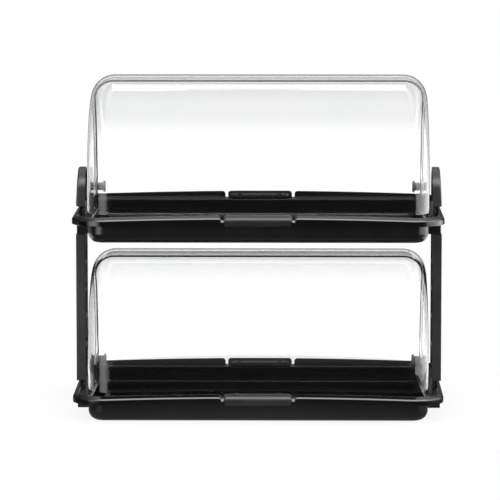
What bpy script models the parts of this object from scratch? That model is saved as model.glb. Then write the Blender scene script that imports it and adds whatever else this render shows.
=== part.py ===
"""Two-tier countertop bread display bin with clear roll-top covers.

Metres, +Z up, +X to the right, the front towards -Y. The origin is on the
counter, under the middle of the lower tray. A tray is drawn from its own
underside, a cover from its pivot axis.
"""

import math

import bmesh
import bpy

# Tray: a tub with an outward ledge and a raised rim lip
RIM_WIDTH = 0.440
RIM_DEPTH = 0.306
RIM_CORNER_RADIUS = 0.038
LEAST_CORNER_RADIUS = 0.002
FLANGE_WIDTH = 0.0185
TRAY_HEIGHT = 0.0355
TRAY_WALL = 0.0035
TRAY_FLOOR = 0.003
TUB_BOTTOM_RADIUS = 0.012
LEDGE_DROP = 0.008
LEDGE_THICKNESS = 0.0025
LIP_HEIGHT = 0.0133
LIP_THICKNESS = 0.005
LIP_LAND = 0.0003
LIP_EDGE_RADIUS = 0.0012
LIP_CROWN = 0.003

# Sockets under the rim, one on each side, that take the tongues of posts and end caps
SOCKET_OUTER_WALL = 0.005
SOCKET_END_WALL = 0.0077

# Room between the top of a closed cover and the tray over it
TIER_GAP = 0.0214

# Covers: nested barrels with flat cheeks, on one pivot axis for each tier
COVER_OVERHANG = 0.001
COVER_WALL = 0.002
COVER_FILLET = 0.028
NESTING_GAP = 0.001
PIVOT_RISE = 0.0196
PAST_TOP_ANGLE = math.radians(12)
HUB_RADIUS = 0.013
HUB_PROUD = 0.0004
HUB_RELIEF = 0.0003

# Pivot pins with their caps and washers
PIN_RADIUS = 0.0032
PIN_HEAD_RADIUS = 0.006
PIN_HEAD_THICKNESS = 0.0012
PIN_REACH = 0.0085
SLEEVE_RADIUS = 0.005
SLEEVE_LENGTH = 0.007
CAP_RADIUS = 0.0072
CAP_THICKNESS = 0.0034
WASHER_RADIUS = 0.007

# Grips in the gaps of the rim lip, snapped to the skirts of the covers
GRIP_WIDTH = 0.0802
GRIP_HEIGHT = 0.0138
GRIP_BAR_DEPTH = 0.0065
GRIP_PROUD = 0.0008
GRIP_END_RADIUS = 0.004
GRIP_WEB_HEIGHT = 0.005
GRIP_WEB_INSET = 0.004
NOTCH_WIDTH = 0.0032
NOTCH_CORNER_RADIUS = 0.004
STUD_SPACING = 0.050
STUD_RISE = 0.0038
STUD_RADIUS = 0.0015
STUD_HEAD_RADIUS = 0.003
STUD_HEAD_THICKNESS = 0.0012

# Side posts: channels open inwards, with cross ribs and a tongue at each end
POST_DEPTH = 0.050
POST_WIDTH = 0.0115
POST_OVERHANG = 0.001
POST_WALL = 0.0025
POST_EDGE_RADIUS = 0.001
POST_FOOT = 0.010
RIB_THICKNESS = 0.002
POCKET_COUNT = 5

# Tongues, the same on posts and end caps
TONGUE_THICKNESS = 0.0046
TONGUE_DEPTH = 0.040
TONGUE_TO_LIP = 0.0006
TONGUE_TIP_GAP = 0.001

# End caps: round-topped, with a tapered outer face
END_CAP_HEIGHT = 0.0434
END_CAP_DRAFT = math.radians(3)
END_CAP_FOOT = 0.003

# Clearances
SEAT_GAP = 0.0003
SIDE_GAP = 0.0004
OVERRUN = 0.001

# Fineness of the rounds
CORNER_STEPS = 8
CROWN_STEPS = 10
EDGE_STEPS = 4
FILLET_STEPS = 6
SWEEP_STEPS = 16
CIRCLE_STEPS = 24
HUB_STEPS = 13
GRIP_STEPS = 12

# Levels above a tray's underside
LEDGE_TOP = TRAY_HEIGHT - LEDGE_DROP
LEDGE_UNDERSIDE = LEDGE_TOP - LEDGE_THICKNESS
LIP_UNDERSIDE = TRAY_HEIGHT - LIP_HEIGHT
SIDE_SEAT = TRAY_HEIGHT - LIP_CROWN + SEAT_GAP
PIVOT_LEVEL = TRAY_HEIGHT + PIVOT_RISE

# Half sizes of the nested covers, from the tub that they stand over
TUB_HALF_WIDTH = RIM_WIDTH / 2 - FLANGE_WIDTH
TUB_HALF_DEPTH = RIM_DEPTH / 2 - FLANGE_WIDTH
FRONT_HALF_WIDTH = TUB_HALF_WIDTH + COVER_OVERHANG
FRONT_RADIUS = TUB_HALF_DEPTH + COVER_OVERHANG
NESTING_STEP = COVER_WALL + NESTING_GAP
REAR_HALF_WIDTH = FRONT_HALF_WIDTH - NESTING_STEP
REAR_RADIUS = FRONT_RADIUS - NESTING_STEP
TIER_PITCH = PIVOT_LEVEL + FRONT_RADIUS + TIER_GAP
SKIRT_DROP = PIVOT_RISE + LEDGE_DROP - SEAT_GAP
HOLE_RADIUS = PIN_RADIUS + SEAT_GAP

# Places of the tongues and of what they pass through
TONGUE_OUTER = RIM_WIDTH / 2 - LIP_THICKNESS - TONGUE_TO_LIP
TONGUE_INNER = TONGUE_OUTER - TONGUE_THICKNESS
POST_OUTER = RIM_WIDTH / 2 + POST_OVERHANG
POST_INNER = POST_OUTER - POST_WIDTH
GRIP_BACK = RIM_DEPTH / 2 + GRIP_PROUD - GRIP_BAR_DEPTH


def make_material(name, colour, roughness, transmission=0.0):
    """Return a plain plastic with the part's own colour."""
    material = bpy.data.materials.new(name)
    material.use_nodes = True
    shader = material.node_tree.nodes["Principled BSDF"]
    shader.inputs["Base Color"].default_value = (*colour, 1.0)
    shader.inputs["Roughness"].default_value = roughness
    shader.inputs["Metallic"].default_value = 0.0
    shader.inputs["Transmission Weight"].default_value = transmission
    return material


def mesh_from(bm):
    """Turn a bmesh into a mesh whose faces point out."""
    bmesh.ops.recalc_face_normals(bm, faces=bm.faces)
    mesh = bpy.data.meshes.new("solid")
    bm.to_mesh(mesh)
    bm.free()
    return mesh


def loft(rings, closed=False):
    """Skin a list of rings of equal length; the ends get caps, or meet each other when closed."""
    bm = bmesh.new()
    rows = [[bm.verts.new(point) for point in ring] for ring in rings]
    pairs = list(zip(rows, rows[1:]))
    if closed:
        pairs.append((rows[-1], rows[0]))
    else:
        bm.faces.new(reversed(rows[0]))
        bm.faces.new(rows[-1])
    for lower, upper in pairs:
        for index in range(len(lower)):
            after = (index + 1) % len(lower)
            bm.faces.new((lower[index], lower[after], upper[after], upper[index]))
    return mesh_from(bm)


def along_x(outline, low, high):
    """Extrude a (y, z) outline between two x places."""
    return loft([[(x, y, z) for y, z in outline] for x in (low, high)])


def along_y(outline, low, high):
    """Extrude an (x, z) outline between two y places."""
    return loft([[(x, y, z) for x, z in outline] for y in (low, high)])


def along_z(outline, low, high):
    """Extrude an (x, y) outline between two z places."""
    return loft([[(x, y, z) for x, y in outline] for z in (low, high)])


def block(x_span, y_span, z_span):
    """Return a plain box between three pairs of limits."""
    (left, right), (front, back) = x_span, y_span
    return along_z([(left, front), (right, front), (right, back), (left, back)], *z_span)


def arc(centre_u, centre_v, radius, start, end, steps):
    """Return points of an arc, both ends included."""
    angles = [start + (end - start) * step / steps for step in range(steps + 1)]
    return [(centre_u + radius * math.cos(a), centre_v + radius * math.sin(a)) for a in angles]


def circle(centre_u, centre_v, radius):
    """Return the points of a whole circle, with a flat and not a corner at each side."""
    half_step = math.pi / CIRCLE_STEPS
    return arc(centre_u, centre_v, radius, half_step, half_step + math.tau, CIRCLE_STEPS)[:-1]


def rounded_box_outline(low_u, high_u, low_v, high_v, radius, steps):
    """Return a rectangle with round corners, anticlockwise."""
    corners = [
        (high_u - radius, low_v + radius, -math.pi / 2),
        (high_u - radius, high_v - radius, 0),
        (low_u + radius, high_v - radius, math.pi / 2),
        (low_u + radius, low_v + radius, math.pi),
    ]
    points = []
    for centre_u, centre_v, start in corners:
        points += arc(centre_u, centre_v, radius, start, start + math.pi / 2, steps)
    return points


def turned(stations, closed=False):
    """Turn (x, radius) stations round the X axis."""
    rings = [[(x, y, z) for y, z in circle(0, 0, radius)] for x, radius in stations]
    return loft(rings, closed)


def combine(base, tool, operation):
    """Return two solids joined (UNION), cut (DIFFERENCE) or crossed (INTERSECT)."""
    first = bpy.data.objects.new("first", base)
    second = bpy.data.objects.new("second", tool)
    for item in (first, second):
        bpy.context.scene.collection.objects.link(item)
    modifier = first.modifiers.new("Boolean", "BOOLEAN")
    modifier.operation = operation
    modifier.solver = "EXACT"
    modifier.object = second
    bpy.context.view_layer.update()
    graph = bpy.context.evaluated_depsgraph_get()
    result = bpy.data.meshes.new_from_object(first.evaluated_get(graph))
    for item in (first, second):
        bpy.data.objects.remove(item)
    return result


def place(name, mesh, material, location=(0, 0, 0), turn=0.0, parent=None):
    """Put a solid into the scene under its own name."""
    body = bpy.data.objects.new(name, mesh)
    bpy.context.scene.collection.objects.link(body)
    if not mesh.materials:
        mesh.materials.append(material)
    mesh.shade_smooth()
    mesh.set_sharp_from_angle(angle=math.radians(30))
    body.location = location
    body.rotation_euler.z = turn
    body.parent = parent
    return body


def crown_fall(x):
    """Return how far the lip's top has come down at x: by a parabola to the corners, then level."""
    share = min(abs(x) / (RIM_WIDTH / 2 - RIM_CORNER_RADIUS), 1)
    return LIP_CROWN * share**2


def rim_ring(inset, z):
    """Return the rim's outline drawn in by inset, at one level; over the ledge it follows the crown."""
    radius = max(RIM_CORNER_RADIUS - inset, LEAST_CORNER_RADIUS)
    half_x = RIM_WIDTH / 2 - inset
    half_y = RIM_DEPTH / 2 - inset
    outline = rounded_box_outline(-half_x, half_x, -half_y, half_y, radius, CORNER_STEPS)
    run = [(half_x - radius) * (2 * step / CROWN_STEPS - 1) for step in range(1, CROWN_STEPS)]
    right_side, left_side = outline[: len(outline) // 2], outline[len(outline) // 2 :]
    outline = right_side + [(-x, half_y) for x in run] + left_side + [(x, -half_y) for x in run]
    return [(x, y, z - crown_fall(x) if z > LEDGE_TOP else z) for x, y in outline]


def lip_top_outline():
    """Return the lip's chamfered top from the outer face to the inner one, its two edges rounded."""
    radius = LIP_EDGE_RADIUS
    run = radius * math.tan(math.pi / 8)
    chamfer = LIP_THICKNESS - LIP_LAND - run
    foot, slope, top = math.pi, 3 * math.pi / 4, math.pi / 2
    steps = EDGE_STEPS // 2
    points = arc(radius, TRAY_HEIGHT - chamfer - run, radius, foot, slope, steps)
    points += arc(chamfer + run, TRAY_HEIGHT - radius, radius, slope, top, steps)
    return points + [(LIP_THICKNESS, TRAY_HEIGHT)]


def tray_shell():
    """Skin the tub, ledge and lip as one chain of rings, from the underside to the floor."""
    inner_radius = TUB_BOTTOM_RADIUS - TRAY_WALL
    inner_wall = FLANGE_WIDTH + TRAY_WALL
    outer_turn = FLANGE_WIDTH + TUB_BOTTOM_RADIUS
    inner_turn = inner_wall + inner_radius
    chain = arc(outer_turn, TUB_BOTTOM_RADIUS, TUB_BOTTOM_RADIUS, -math.pi / 2, -math.pi, EDGE_STEPS)
    chain += [
        (FLANGE_WIDTH, LEDGE_UNDERSIDE),
        (LIP_THICKNESS, LEDGE_UNDERSIDE),
        (LIP_THICKNESS, LIP_UNDERSIDE),
        (0, LIP_UNDERSIDE),
    ]
    chain += lip_top_outline()
    chain += [(LIP_THICKNESS, LEDGE_TOP), (inner_wall, LEDGE_TOP)]
    floor_turn = TRAY_FLOOR + inner_radius
    chain += arc(inner_turn, floor_turn, inner_radius, math.pi, 3 * math.pi / 2, EDGE_STEPS)
    return loft([rim_ring(inset, z) for inset, z in chain])


def socket_spans(side):
    """Return the socket's boss and its slot as spans along X and Y, for one side of the tray."""
    slot_y = TONGUE_DEPTH / 2 + SEAT_GAP
    slot_x = (TONGUE_INNER - SEAT_GAP, TONGUE_OUTER + SEAT_GAP)
    boss_x = (TUB_HALF_WIDTH - TRAY_WALL / 2, slot_x[1] + SOCKET_OUTER_WALL)
    boss_y = slot_y + SOCKET_END_WALL
    spans = []
    for x_span, half_y in ((boss_x, boss_y), (slot_x, slot_y)):
        spans.append((sorted(side * x for x in x_span), (-half_y, half_y)))
    return spans


def notch_cutter(facing):
    """Return the gap between the two rounded ends of the lip, down to the ledge."""
    half = GRIP_WIDTH / 2 + NOTCH_WIDTH
    turn_u = half + NOTCH_CORNER_RADIUS
    turn_v = TRAY_HEIGHT - NOTCH_CORNER_RADIUS
    right = [(half, LEDGE_TOP)]
    right += arc(turn_u, turn_v, NOTCH_CORNER_RADIUS, math.pi, math.pi / 2, EDGE_STEPS)
    right += [(turn_u, TRAY_HEIGHT + OVERRUN)]
    left = [(-x, z) for x, z in reversed(right)]
    near = RIM_DEPTH / 2 - LIP_THICKNESS - OVERRUN
    far = RIM_DEPTH / 2 + OVERRUN
    return along_y(right + left, *sorted((facing * near, facing * far)))


def grip_pocket_cutter(facing):
    """Return the room for the grip's bar, through ledge and lip."""
    half = GRIP_WIDTH / 2 + SIDE_GAP
    near = GRIP_BACK - SIDE_GAP
    far = RIM_DEPTH / 2 + OVERRUN
    y_span = sorted((facing * near, facing * far))
    return block((-half, half), y_span, (LIP_UNDERSIDE - OVERRUN, TRAY_HEIGHT + OVERRUN))


def tray_mesh():
    """Return one tray: shell, two sockets, and the gaps for the two grips."""
    mesh = tray_shell()
    boss_top = LEDGE_UNDERSIDE + LEDGE_THICKNESS / 2
    for side in (-1, 1):
        (boss_x, boss_y), (slot_x, slot_y) = socket_spans(side)
        mesh = combine(mesh, block(boss_x, boss_y, (0, boss_top)), "UNION")
        slot = block(slot_x, slot_y, (-OVERRUN, LEDGE_TOP + OVERRUN))
        mesh = combine(mesh, slot, "DIFFERENCE")
    for facing in (-1, 1):
        mesh = combine(mesh, notch_cutter(facing), "DIFFERENCE")
        mesh = combine(mesh, grip_pocket_cutter(facing), "DIFFERENCE")
    return mesh


def cover_profile(half_width, radius, fillet):
    """Return (x, distance from the axis) from the left cheek over the barrel to the right cheek."""
    start = HUB_RADIUS / 2
    turn_x = half_width - fillet
    turn_r = radius - fillet
    left = [(-half_width, start)]
    left += arc(-turn_x, turn_r, fillet, math.pi, math.pi / 2, FILLET_STEPS)
    return left + [(-x, r) for x, r in reversed(left)]


def cover_grid(profile, facing):
    """Place a profile at the skirt's foot and at each step of its turn about the pivot axis."""
    reach = math.pi / 2 + PAST_TOP_ANGLE
    rows = [[(x, facing * r, -SKIRT_DROP) for x, r in profile]]
    for step in range(SWEEP_STEPS + 1):
        angle = reach * step / SWEEP_STEPS
        rows.append([(x, facing * r * math.cos(angle), r * math.sin(angle)) for x, r in profile])
    return rows


def cover_shell(half_width, radius, facing):
    """Return the bent sheet of one cover, its skirt and its cheeks, as one closed wall."""
    fillet = COVER_FILLET - (FRONT_RADIUS - radius)
    outer = cover_grid(cover_profile(half_width, radius, fillet), facing)
    inner_profile = cover_profile(half_width - COVER_WALL, radius - COVER_WALL, fillet - COVER_WALL)
    inner = cover_grid(inner_profile, facing)
    rings = [row + list(reversed(back)) for row, back in zip(outer, inner)]
    return loft(rings)


def hub_outline(to_ledge):
    """Return the pivot hub: a disc, or a round-topped cheek that runs down to the ledge."""
    if not to_ledge:
        return circle(0, 0, HUB_RADIUS)
    top = arc(0, 0, HUB_RADIUS, 0, math.pi, HUB_STEPS)
    foot = HUB_RELIEF - SKIRT_DROP
    return top + [(-HUB_RADIUS, foot), (HUB_RADIUS, foot)]


def cover_mesh(half_width, radius, facing, hub_x, hub_to_ledge):
    """Return one cover with its two hubs, pin holes and the stud holes of its grip."""
    mesh = cover_shell(half_width, radius, facing)
    for side in (-1, 1):
        x_span = sorted(side * x for x in hub_x)
        mesh = combine(mesh, along_x(hub_outline(hub_to_ledge), *x_span), "UNION")
        hole_x = (x_span[0] - OVERRUN, x_span[1] + OVERRUN)
        mesh = combine(mesh, along_x(circle(0, 0, HOLE_RADIUS), *hole_x), "DIFFERENCE")
        near = radius - COVER_WALL - OVERRUN
        far = radius + OVERRUN
        hole = circle(side * STUD_SPACING / 2, stud_level(), STUD_RADIUS + SEAT_GAP)
        mesh = combine(mesh, along_y(hole, *sorted((facing * near, facing * far))), "DIFFERENCE")
    return mesh


def front_hub_span():
    """Return the front cover's hub along X: proud outside, relieved inside."""
    inside = FRONT_HALF_WIDTH - COVER_WALL + HUB_RELIEF
    return inside, FRONT_HALF_WIDTH + HUB_PROUD


def rear_hub_span():
    """Return the rear cover's hub along X: proud inside, relieved outside."""
    return REAR_HALF_WIDTH - COVER_WALL - HUB_PROUD, REAR_HALF_WIDTH - HUB_RELIEF


def pin_mesh():
    """Return the pivot pin: a flat head outside the front cover and a shaft through both."""
    seat = front_hub_span()[1] + SEAT_GAP
    tip = rear_hub_span()[0] - PIN_REACH
    head = seat + PIN_HEAD_THICKNESS
    return turned([(tip, PIN_RADIUS), (seat, PIN_RADIUS), (seat, PIN_HEAD_RADIUS), (head, PIN_HEAD_RADIUS)])


def pivot_cap_mesh():
    """Return the cap that closes the pin inside: a sleeve with a blind bore and a wide head."""
    mouth = rear_hub_span()[0] - SEAT_GAP
    step = mouth - SLEEVE_LENGTH
    bottom = rear_hub_span()[0] - PIN_REACH - SEAT_GAP
    stations = [(bottom, HOLE_RADIUS), (mouth, HOLE_RADIUS), (mouth, SLEEVE_RADIUS), (step, SLEEVE_RADIUS)]
    stations += [(step, CAP_RADIUS), (step - CAP_THICKNESS, CAP_RADIUS)]
    return turned(stations)


def washer_mesh():
    """Return the thin washer between the cheeks of the nested covers."""
    low = REAR_HALF_WIDTH + SEAT_GAP
    high = FRONT_HALF_WIDTH - COVER_WALL - SEAT_GAP
    return turned(
        [(low, HOLE_RADIUS), (low, WASHER_RADIUS), (high, WASHER_RADIUS), (high, HOLE_RADIUS)],
        closed=True,
    )


def stud_level():
    """Return the height of the grip's studs from the pivot axis."""
    return STUD_RISE - SKIRT_DROP


def grip_bar(facing):
    """Return the bar: half an ellipse in section, with round ends."""
    top = -PIVOT_RISE
    middle = top - GRIP_HEIGHT / 2
    angles = [math.pi / 2 - math.pi * step / GRIP_STEPS for step in range(GRIP_STEPS + 1)]
    section = []
    for angle in angles:
        out = GRIP_BACK + GRIP_BAR_DEPTH * math.cos(angle)
        section.append((facing * out, middle + GRIP_HEIGHT / 2 * math.sin(angle)))
    half = GRIP_WIDTH / 2
    bar = along_x(section, -half, half)
    ends = rounded_box_outline(-half, half, top - GRIP_HEIGHT, top, GRIP_END_RADIUS, EDGE_STEPS)
    near = GRIP_BACK - OVERRUN
    far = GRIP_BACK + GRIP_BAR_DEPTH + OVERRUN
    return combine(bar, along_y(ends, *sorted((facing * near, facing * far))), "INTERSECT")


def grip_mesh(skirt_radius, facing):
    """Return one grip: bar, web over the ledge, and two snap studs through the cover's skirt."""
    mesh = grip_bar(facing)
    half = GRIP_WIDTH / 2 - GRIP_WEB_INSET
    web_y = sorted((facing * (skirt_radius + SEAT_GAP), facing * (GRIP_BACK + OVERRUN)))
    low = -SKIRT_DROP
    mesh = combine(mesh, block((-half, half), web_y, (low, low + GRIP_WEB_HEIGHT)), "UNION")
    head_seat = skirt_radius - COVER_WALL - SEAT_GAP
    head_end = head_seat - STUD_HEAD_THICKNESS
    for side in (-1, 1):
        centre = (side * STUD_SPACING / 2, stud_level())
        shaft_y = sorted((facing * (head_seat - STUD_HEAD_THICKNESS / 2), facing * GRIP_BACK))
        mesh = combine(mesh, along_y(circle(*centre, STUD_RADIUS), *shaft_y), "UNION")
        head_y = sorted((facing * head_seat, facing * head_end))
        mesh = combine(mesh, along_y(circle(*centre, STUD_HEAD_RADIUS), *head_y), "UNION")
    return mesh


def tongue(low, high):
    """Return the flat tongue between two levels."""
    half = TONGUE_DEPTH / 2
    return block((TONGUE_INNER, TONGUE_OUTER), (-half, half), (low, high))


def post_mesh():
    """Return the right post from the lower tray's underside up: channel, ribs, two tongues."""
    foot = SIDE_SEAT
    head = TIER_PITCH - SEAT_GAP
    half = POST_DEPTH / 2
    outline = rounded_box_outline(POST_INNER, POST_OUTER, -half, half, POST_EDGE_RADIUS, EDGE_STEPS // 2)
    mesh = along_z(outline, foot, head)
    pocket_x = (POST_INNER - OVERRUN, POST_OUTER - POST_WALL)
    pocket_y = (POST_WALL - half, half - POST_WALL)
    pitch = (head - foot - POST_FOOT) / POCKET_COUNT
    for index in range(POCKET_COUNT):
        low = foot + POST_FOOT + index * pitch
        mesh = combine(mesh, block(pocket_x, pocket_y, (low, low + pitch - RIB_THICKNESS)), "DIFFERENCE")
    mesh = combine(mesh, tongue(TONGUE_TIP_GAP, foot + OVERRUN), "UNION")
    joint = TIER_PITCH + LEDGE_TOP / 2
    return combine(mesh, tongue(head - OVERRUN, joint - TONGUE_TIP_GAP), "UNION")


def round_top_outline(half, low, top):
    """Return a (y, z) outline with a half-round top."""
    return [(half, low)] + arc(0, top - half, half, 0, math.pi, CIRCLE_STEPS // 2) + [(-half, low)]


def end_cap_mesh():
    """Return the right end cap from the upper tray's underside up: hollow from inside, one tongue."""
    low = SIDE_SEAT
    top = TRAY_HEIGHT + END_CAP_HEIGHT
    half = POST_DEPTH / 2
    slope = math.tan(END_CAP_DRAFT)
    outline = round_top_outline(half, low, top)
    inner = [(POST_INNER, y, z) for y, z in outline]
    outer = [(POST_OUTER - slope * (z - low), y, z) for y, z in outline]
    mesh = loft([inner, outer])
    hollow = round_top_outline(half - POST_WALL, low + END_CAP_FOOT, top - POST_WALL)
    inner = [(POST_INNER - OVERRUN, y, z) for y, z in hollow]
    outer = [(POST_OUTER - POST_WALL - slope * (z - low), y, z) for y, z in hollow]
    mesh = combine(mesh, loft([inner, outer]), "DIFFERENCE")
    joint = LEDGE_TOP / 2
    return combine(mesh, tongue(joint, low + OVERRUN), "UNION")


def pivot_empty(name, height):
    """Return an empty on a tier's pivot axis, the parent of what turns there."""
    empty = bpy.data.objects.new(name, None)
    bpy.context.scene.collection.objects.link(empty)
    empty.location = (0, 0, height)
    return empty


def build():
    """Make every mesh once and place it on both tiers and both sides."""
    black = make_material("black_abs", (0.012, 0.012, 0.013), 0.18)
    grey = make_material("dark_grey_abs", (0.065, 0.065, 0.068), 0.4)
    clear = make_material("clear_polycarbonate", (0.96, 0.97, 0.97), 0.04, 0.95)
    frosted = make_material("natural_polycarbonate", (0.80, 0.82, 0.82), 0.2, 0.8)
    nylon = make_material("natural_nylon", (0.78, 0.78, 0.74), 0.35)

    tray = tray_mesh()
    front_cover = cover_mesh(FRONT_HALF_WIDTH, FRONT_RADIUS, -1, front_hub_span(), False)
    rear_cover = cover_mesh(REAR_HALF_WIDTH, REAR_RADIUS, 1, rear_hub_span(), True)
    front_grip = grip_mesh(FRONT_RADIUS, -1)
    rear_grip = grip_mesh(REAR_RADIUS, 1)
    pin, cap, washer = pin_mesh(), pivot_cap_mesh(), washer_mesh()
    post, end_cap = post_mesh(), end_cap_mesh()

    for tier, base in (("lower", 0), ("upper", TIER_PITCH)):
        axis = (0, 0, base + PIVOT_LEVEL)
        turning = pivot_empty(f"{tier}_pivot_axis", axis[2])
        place(f"{tier}_tray", tray, black, (0, 0, base))
        place(f"{tier}_front_cover", front_cover, clear, parent=turning)
        place(f"{tier}_front_grip", front_grip, black, parent=turning)
        place(f"{tier}_rear_cover", rear_cover, clear, axis)
        place(f"{tier}_rear_grip", rear_grip, black, axis)
        for side, turn in (("right", 0), ("left", math.pi)):
            place(f"{tier}_{side}_pivot_pin", pin, frosted, axis, turn)
            place(f"{tier}_{side}_pivot_cap", cap, frosted, axis, turn)
            place(f"{tier}_{side}_washer", washer, nylon, axis, turn)

    for side, turn in (("right", 0), ("left", math.pi)):
        place(f"{side}_post", post, grey, turn=turn)
        place(f"{side}_end_cap", end_cap, grey, (0, 0, TIER_PITCH), turn)


for old in list(bpy.data.objects):
    bpy.data.objects.remove(old)
build()
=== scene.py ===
"""Looks of the two-tier countertop bread display bin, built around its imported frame.

Metres, +Z up, +X to the right, the front towards -Y, as in the frame. Every
piece is a surface worked out with numpy, with its place in its mesh.
"""

import logging
import math
from dataclasses import dataclass, field
from enum import Enum

import bmesh
import bpy
import numpy as np
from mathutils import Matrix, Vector


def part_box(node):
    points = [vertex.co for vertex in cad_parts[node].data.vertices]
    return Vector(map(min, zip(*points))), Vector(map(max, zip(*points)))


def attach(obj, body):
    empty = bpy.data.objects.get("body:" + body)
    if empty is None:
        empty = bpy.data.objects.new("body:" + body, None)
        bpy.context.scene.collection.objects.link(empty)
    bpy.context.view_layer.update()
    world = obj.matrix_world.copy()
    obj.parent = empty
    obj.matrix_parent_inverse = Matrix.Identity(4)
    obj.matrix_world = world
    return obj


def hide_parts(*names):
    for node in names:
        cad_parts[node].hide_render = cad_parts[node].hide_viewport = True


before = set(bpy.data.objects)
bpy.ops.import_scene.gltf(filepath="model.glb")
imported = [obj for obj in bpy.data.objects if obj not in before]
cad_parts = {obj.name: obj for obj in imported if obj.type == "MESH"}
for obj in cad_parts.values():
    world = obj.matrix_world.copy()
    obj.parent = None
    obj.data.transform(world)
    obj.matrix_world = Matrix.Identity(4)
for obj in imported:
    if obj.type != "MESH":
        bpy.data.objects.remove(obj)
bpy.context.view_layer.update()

Mesh = bpy.types.Mesh
Piece = bpy.types.Object
Tree = bpy.types.NodeTree
Socket = bpy.types.NodeSocket

LOG = logging.getLogger("bread_bin")
QUARTER = math.pi / 2
MERGE_DISTANCE = 1e-6
SMOOTH_ANGLE = math.radians(32)
SHADING_WEIGHT = 80
SEAT = 0.0003
OVERRUN = 0.001
MOUTH_OVERRUN = 0.0001
WHITE = (1.0, 1.0, 1.0, 1.0)

# Between no mirroring step and one, as the light's path counts them
HALF_STEP = 0.5


class Tier(Enum):
    """The two storeys of the bin."""

    LOWER = "lower"
    UPPER = "upper"


class Side(Enum):
    """Left or right of the bin; the value is the sign along X."""

    LEFT = -1
    RIGHT = 1


class Facing(Enum):
    """Front or rear of the bin; the value is the sign along Y."""

    FRONT = -1
    REAR = 1

    def node(self, tier: Tier, kind: str) -> str:
        """The frame node of this tier's cover or grip."""
        return f"{tier.value}_{self.name.lower()}_{kind}"

    def body(self, tier: Tier) -> str:
        """The body that a cover and its grip ride on: the front ones roll back, the rear ones stay."""
        return f"{tier.value}_lid" if self is Facing.FRONT else "stand"


class Cut(Enum):
    """How one solid changes another."""

    JOIN = "UNION"
    REMOVE = "DIFFERENCE"


# Points and outlines


def arc(centre: tuple, radius: float, start: float, end: float, steps: int) -> np.ndarray:
    """Points centre + radius * (cos a, sin a) for evenly spaced angles a.

    Args:
        centre: The arc's centre in its own plane.
        radius: The arc's radius.
        start: The first angle in radians.
        end: The last angle in radians.
        steps: The number of chords.

    Returns:
        An array of steps + 1 points.
    """
    angles = np.linspace(start, end, steps + 1)
    return np.stack([centre[0] + radius * np.cos(angles), centre[1] + radius * np.sin(angles)], -1)


def rounded_rectangle(half: tuple, radius: float, steps: int, middle: tuple = (0.0, 0.0)) -> np.ndarray:
    """A rectangle with round corners, anticlockwise: four quarter arcs joined by straight runs.

    Args:
        half: Half the width and half the height.
        radius: The corner radius.
        steps: The chords in each corner.
        middle: The rectangle's middle.

    Returns:
        An array of 4 * (steps + 1) points.
    """
    u, v = half[0] - radius, half[1] - radius
    corners = ((u, -v, -QUARTER), (u, v, 0.0), (-u, v, QUARTER), (-u, -v, math.pi))
    arcs = [arc((middle[0] + cu, middle[1] + cv), radius, a, a + QUARTER, steps) for cu, cv, a in corners]
    return np.concatenate(arcs)


def round_top(half: float, low: float, top: float, radius: float, steps: int) -> np.ndarray:
    """An outline with a half-round top and two small round corners at its foot.

    Args:
        half: Half the width, which is also the radius of the top.
        low: The foot's level.
        top: The crown's level.
        radius: The radius of the foot's corners.
        steps: The chords in the half-round top.

    Returns:
        An array of points, anticlockwise from the right foot corner.
    """
    foot = max(steps // 6, 2)
    right = arc((half - radius, low + radius), radius, -QUARTER, 0.0, foot)
    crown = arc((0.0, top - half), half, 0.0, math.pi, steps)
    left = arc((radius - half, low + radius), radius, math.pi, 3 * QUARTER, foot)
    return np.concatenate([right, crown, left])


def on_plane(points: np.ndarray, axis: int, level: float) -> np.ndarray:
    """Lift 2-D points into space, with the given axis held at one level."""
    return np.insert(points, axis, level, axis=-1)


def ordered(sign: int, near: float, far: float) -> tuple:
    """The lower and the higher of sign * near and sign * far."""
    return tuple(sorted((sign * near, sign * far)))


# Skins


@dataclass
class Skin:
    """A mesh in the making: points, and faces as rows of point numbers."""

    points: np.ndarray
    faces: list

    def to_mesh(self, name: str) -> Mesh:
        """Make a mesh, merge its doubles and point its faces outwards.

        Args:
            name: The mesh's name.

        Returns:
            A closed mesh.
        """
        mesh = bpy.data.meshes.new(name)
        mesh.from_pydata(self.points.tolist(), [], self.faces)
        mesh.validate()
        bm = bmesh.new()
        bm.from_mesh(mesh)
        bmesh.ops.remove_doubles(bm, verts=bm.verts, dist=MERGE_DISTANCE)
        bmesh.ops.dissolve_degenerate(bm, edges=bm.edges, dist=MERGE_DISTANCE)
        bmesh.ops.recalc_face_normals(bm, faces=bm.faces)
        bm.to_mesh(mesh)
        bm.free()
        return mesh


def grid_faces(rows: int, columns: int, wrap_rows: bool = False) -> np.ndarray:
    """Quads of a grid whose columns run round a closed ring.

    Args:
        rows: The number of rings.
        columns: The points in each ring.
        wrap_rows: Whether the last ring meets the first.

    Returns:
        An array of four point numbers a face.
    """
    r, c = np.meshgrid(np.arange(rows if wrap_rows else rows - 1), np.arange(columns), indexing="ij")
    r_next, c_next = (r + 1) % rows, (c + 1) % columns
    corners = (r * columns + c, r * columns + c_next, r_next * columns + c_next, r_next * columns + c)
    return np.stack(corners, -1).reshape(-1, 4)


def loft(rings: np.ndarray, closed: bool = False) -> Skin:
    """Skin rings of equal length: the surface is ring(row, column), with flat ends unless closed.

    Args:
        rings: An array of rows x columns x 3.
        closed: Whether the last ring meets the first instead of having ends.

    Returns:
        The skin of a solid.
    """
    rows, columns = rings.shape[:2]
    faces = grid_faces(rows, columns, closed).tolist()
    if not closed:
        faces.append(list(range(columns))[::-1])
        faces.append(list(range((rows - 1) * columns, rows * columns)))
    return Skin(rings.reshape(-1, 3), faces)


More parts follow.
